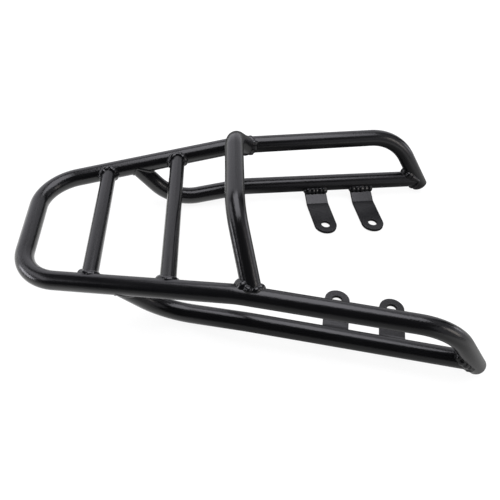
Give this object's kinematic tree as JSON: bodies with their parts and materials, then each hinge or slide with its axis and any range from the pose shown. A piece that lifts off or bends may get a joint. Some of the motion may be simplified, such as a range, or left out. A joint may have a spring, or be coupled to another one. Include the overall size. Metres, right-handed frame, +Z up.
{
  "type": "motorcycle luggage rack",
  "caption": "Bent-tube motorcycle luggage rack: flared hoop platform with cross bars, raised arch, lower rails and drilled mounting tabs, welded and coated satin black.",
  "frame": {"origin": "midway between the rear pair of bolt holes, on the plane of the tabs' undersides", "axes": "+X to the front of the motorcycle, +Y to its left, +Z up along the bolts"},
  "size_m": [0.3921, 0.2628, 0.1076],
  "materials": {
    "powder_coat": "satin black powder coat"
  },
  "bodies": {
    "root": {"arch_hoop": "powder_coat", "front_cross_bar": "powder_coat", "left_arch_weld": "powder_coat", "left_front_bar_weld": "powder_coat", "left_front_tab": "powder_coat", "left_front_tab_weld": "powder_coat", "left_lower_rail": "powder_coat", "left_lower_rail_front_weld": "powder_coat", "left_lower_rail_rear_weld": "powder_coat", "left_rear_bar_weld": "powder_coat", "left_rear_tab": "powder_coat", "left_rear_tab_weld": "powder_coat", "main_hoop": "powder_coat", "rear_cross_bar": "powder_coat", "right_arch_weld": "powder_coat", "right_front_bar_weld": "powder_coat", "right_front_tab": "powder_coat", "right_front_tab_weld": "powder_coat", "right_lower_rail": "powder_coat", "right_lower_rail_front_weld": "powder_coat", "right_lower_rail_rear_weld": "powder_coat", "right_rear_bar_weld": "powder_coat", "right_rear_tab": "powder_coat", "right_rear_tab_weld": "powder_coat"}
  },
  "joints": []
}
